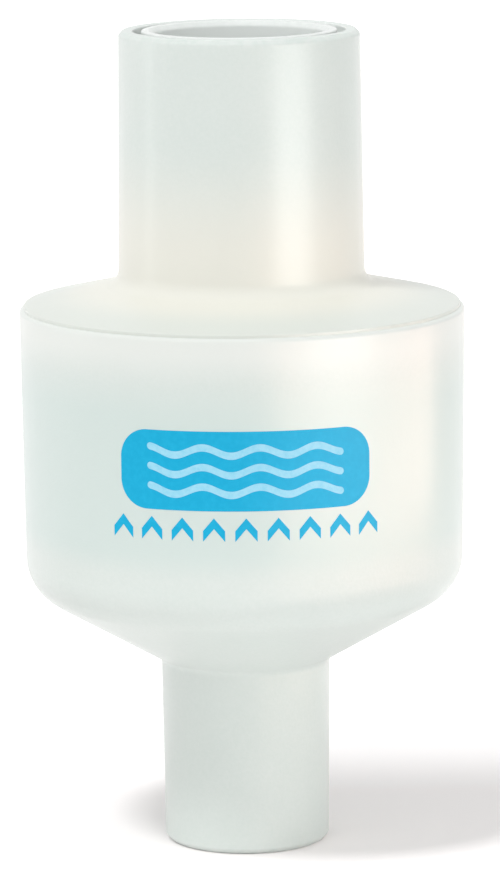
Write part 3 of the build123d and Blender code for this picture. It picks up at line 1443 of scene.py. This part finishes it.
@dataclass(frozen=True)
class Lamp:
    """A lamp that faces the object and that only its light shows: degrees and metres."""

    name: str
    azimuth: float
    elevation: float

    def light(self) -> bpy.types.Light:
        """Return the lamp's data."""
        raise NotImplementedError

    def build(self, target_height: float) -> None:
        """Hang the lamp so that it faces a point on the object's axis.

        Args:
            target_height: Height of the point, in metres.
        """
        made = bpy.data.objects.new(self.name, self.light())
        bpy.context.scene.collection.objects.link(made)
        turn, rise = math.radians(self.azimuth), math.radians(self.elevation)
        out = Vector(
            (math.sin(turn) * math.cos(rise), -math.cos(turn) * math.cos(rise), math.sin(rise))
        )
        made.location = Vector((0, 0, target_height)) + out * self.distance
        made.rotation_mode = "QUATERNION"
        made.rotation_quaternion = (-out).to_track_quat("-Z", "Y")
        made.visible_camera = False
        made.visible_transmission = False
        made.visible_glossy = self.gloss
        made.visible_diffuse = self.diffuse
        log.info("%s: %.0f degrees right, %.0f up", self.name, self.azimuth, self.elevation)


@dataclass(frozen=True)
class Panel(Lamp):
    """A soft rectangular lamp."""

    distance: float
    width: float
    height: float
    radiance: float
    tint: Colour = (1.0, 1.0, 1.0)
    gloss: bool = True
    diffuse: bool = True

    def light(self) -> bpy.types.Light:
        """Return the lamp's data."""
        data = bpy.data.lights.new(self.name, "AREA")
        data.shape = "RECTANGLE"
        data.size, data.size_y = self.width, self.height
        data.energy = self.radiance * math.pi * self.width * self.height
        data.color = self.tint
        return data


@dataclass(frozen=True)
class Sun(Lamp):
    """A distant soft lamp that no reflection shows."""

    spread: float
    level: float
    distance: ClassVar[float] = 1.0
    gloss: ClassVar[bool] = False
    diffuse: ClassVar[bool] = True

    def light(self) -> bpy.types.Light:
        """Return the lamp's data."""
        data = bpy.data.lights.new(self.name, "SUN")
        data.angle = math.radians(self.spread)
        data.energy = self.level * math.pi
        return data


@dataclass
class Studio:
    """Camera, lamps, floor and surroundings."""

    target_height: float = 38 * MM
    distance: float = 460 * MM
    elevation: float = 9.92
    roll: float = 0.616
    lens: float = 207.7
    sensor: float = 36.0
    far_clip: float = 20.0
    shift: Point = (0.0077, -0.0064)
    floor_size: float = 8.0
    floor_segments: int = 64
    floor_gap: float = 0.02 * MM
    floor_tone: Colour = (0.90, 0.87, 0.87)
    floor_grain: float = 1 / 900
    grain_rise: float = 0.01
    floor_lift: float = 0.085
    # Painted light on the floor behind the object, which fades its shadow there.
    painted_floor_light: float = 0.32
    painted_light_depths: Point = (14 * MM, 38 * MM)
    world_light: float = 0.69
    lamps: tuple[Lamp, ...] = (
        Sun("key_lamp", -40, 61, 10, 0.44),
        Panel("fill_lamp", 75, 14, 0.7, 0.5, 0.5, 0.55, gloss=False),
        Panel("low_front", 0, -31, *LOW_PANEL, 0.52, gloss=False),
        Panel("low_left", -85, -31, *LOW_PANEL, 0.07, gloss=False),
        Panel("low_right", 85, -31, *LOW_PANEL, 0.25, gloss=False),
        Panel("cup_sheen", 61, -9.15, 0.0912, 0.187, 0.029, 6.6, (1.0, 0.68, 0.55), diffuse=False),
        Panel("port_sheen", 48.5, 8.2, 0.132, 0.080, 0.046, 5.0, (1.0, 0.97, 0.95), diffuse=False),
        Panel("port_glint", -93, 8, 0.3, 0.03, 0.1, 4.0, diffuse=False),
    )

    def build(self) -> None:
        """Set up everything round the object."""
        self._camera()
        self._floor()
        self._world()
        for lamp in self.lamps:
            lamp.build(self.target_height)
        bpy.context.scene.view_settings.view_transform = "Standard"
        log.info("studio: camera %.0f mm from the axis", self.distance / MM)

    def _camera(self) -> None:
        """Place the camera as the photograph was taken."""
        data = bpy.data.cameras.new("camera")
        data.lens = self.lens
        data.sensor_width = self.sensor
        data.shift_x, data.shift_y = self.shift
        data.clip_end = self.far_clip
        made = bpy.data.objects.new("camera", data)
        bpy.context.scene.collection.objects.link(made)
        up = math.radians(self.elevation)
        back = Vector((0, -math.cos(up), math.sin(up)))
        made.location = Vector((0, 0, self.target_height)) + back * self.distance
        made.rotation_mode = "QUATERNION"
        level = (-back).to_track_quat("-Z", "Y")
        tilt = Matrix.Rotation(math.radians(-self.roll), 4, "Z").to_quaternion()
        made.rotation_quaternion = level @ tilt
        bpy.context.scene.camera = made

    @staticmethod
    def _seen(tree: ShaderTree) -> Wire:
        """Tell what the camera, reflections and clear walls show from what gives light.

        Args:
            tree: The tree that asks.

        Returns:
            1 for what is seen, and 0 for light.
        """
        rays = tree.node("ShaderNodeLightPath").outputs
        camera, glossy, through = (
            Wire(tree, rays[f"Is {kind} Ray"]) for kind in ("Camera", "Glossy", "Transmission")
        )
        return tree.math("MAXIMUM", tree.math("MAXIMUM", camera, glossy), through)

    def _floor(self) -> None:
        """Lay the pale floor, lifted to white for the camera and for reflections, with painted light
        behind the object that fades its shadow there.
        """
        shape = bmesh.new()
        bmesh.ops.create_circle(
            shape, cap_ends=True, segments=self.floor_segments, radius=self.floor_size / 2
        )
        bmesh.ops.translate(shape, vec=(0, 0, -self.floor_gap), verts=shape.verts)
        mesh = bpy.data.meshes.new("floor")
        shape.to_mesh(mesh)
        shape.free()
        material = bpy.data.materials.new("floor_paper")
        tree = ShaderTree(material)
        grain = tree.noise(tree.place(), 1 / self.floor_grain, 2.0)
        paler = tuple(part + self.grain_rise for part in self.floor_tone)
        tone = tree.blend(grain, self.floor_tone, paler)
        matt = tree.form("BsdfDiffuse", Color=tone)
        # Painted light: from 14 to 38 mm behind the axis the floor glows brighter, which fades the
        # object's shadow.
        behind = tree.step(tree.split(tree.place())[1], *self.painted_light_depths)
        lift = self._seen(tree) * (behind * self.painted_floor_light + self.floor_lift)
        glow = tree.form("Emission", Strength=lift)
        tree.show(tree.node("ShaderNodeAddShader", None, {0: matt, 1: glow}).outputs[0])
        mesh_object("floor", mesh, material)

    def _world(self) -> None:
        """Surround the scene with soft light that the camera and reflections see as white."""
        world = bpy.data.worlds.new("surroundings")
        bpy.context.scene.world = world
        tree = ShaderTree(world)
        strength = self._seen(tree) * (1 - self.world_light) + self.world_light
        glow = tree.form("Background", Color=(1.0, 1.0, 1.0, 1.0), Strength=strength)
        tree.show(glow, "OutputWorld")


def main() -> None:
    """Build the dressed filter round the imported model."""
    logging.basicConfig(level=logging.INFO, format="%(name)s: %(message)s")
    Studio().build()
    housings = Housings()
    for piece in (housings, ExchangeRoll(), FilterPad(housings), FlowMark(housings)):
        piece.build()


if __name__ == "__main__":
    main()
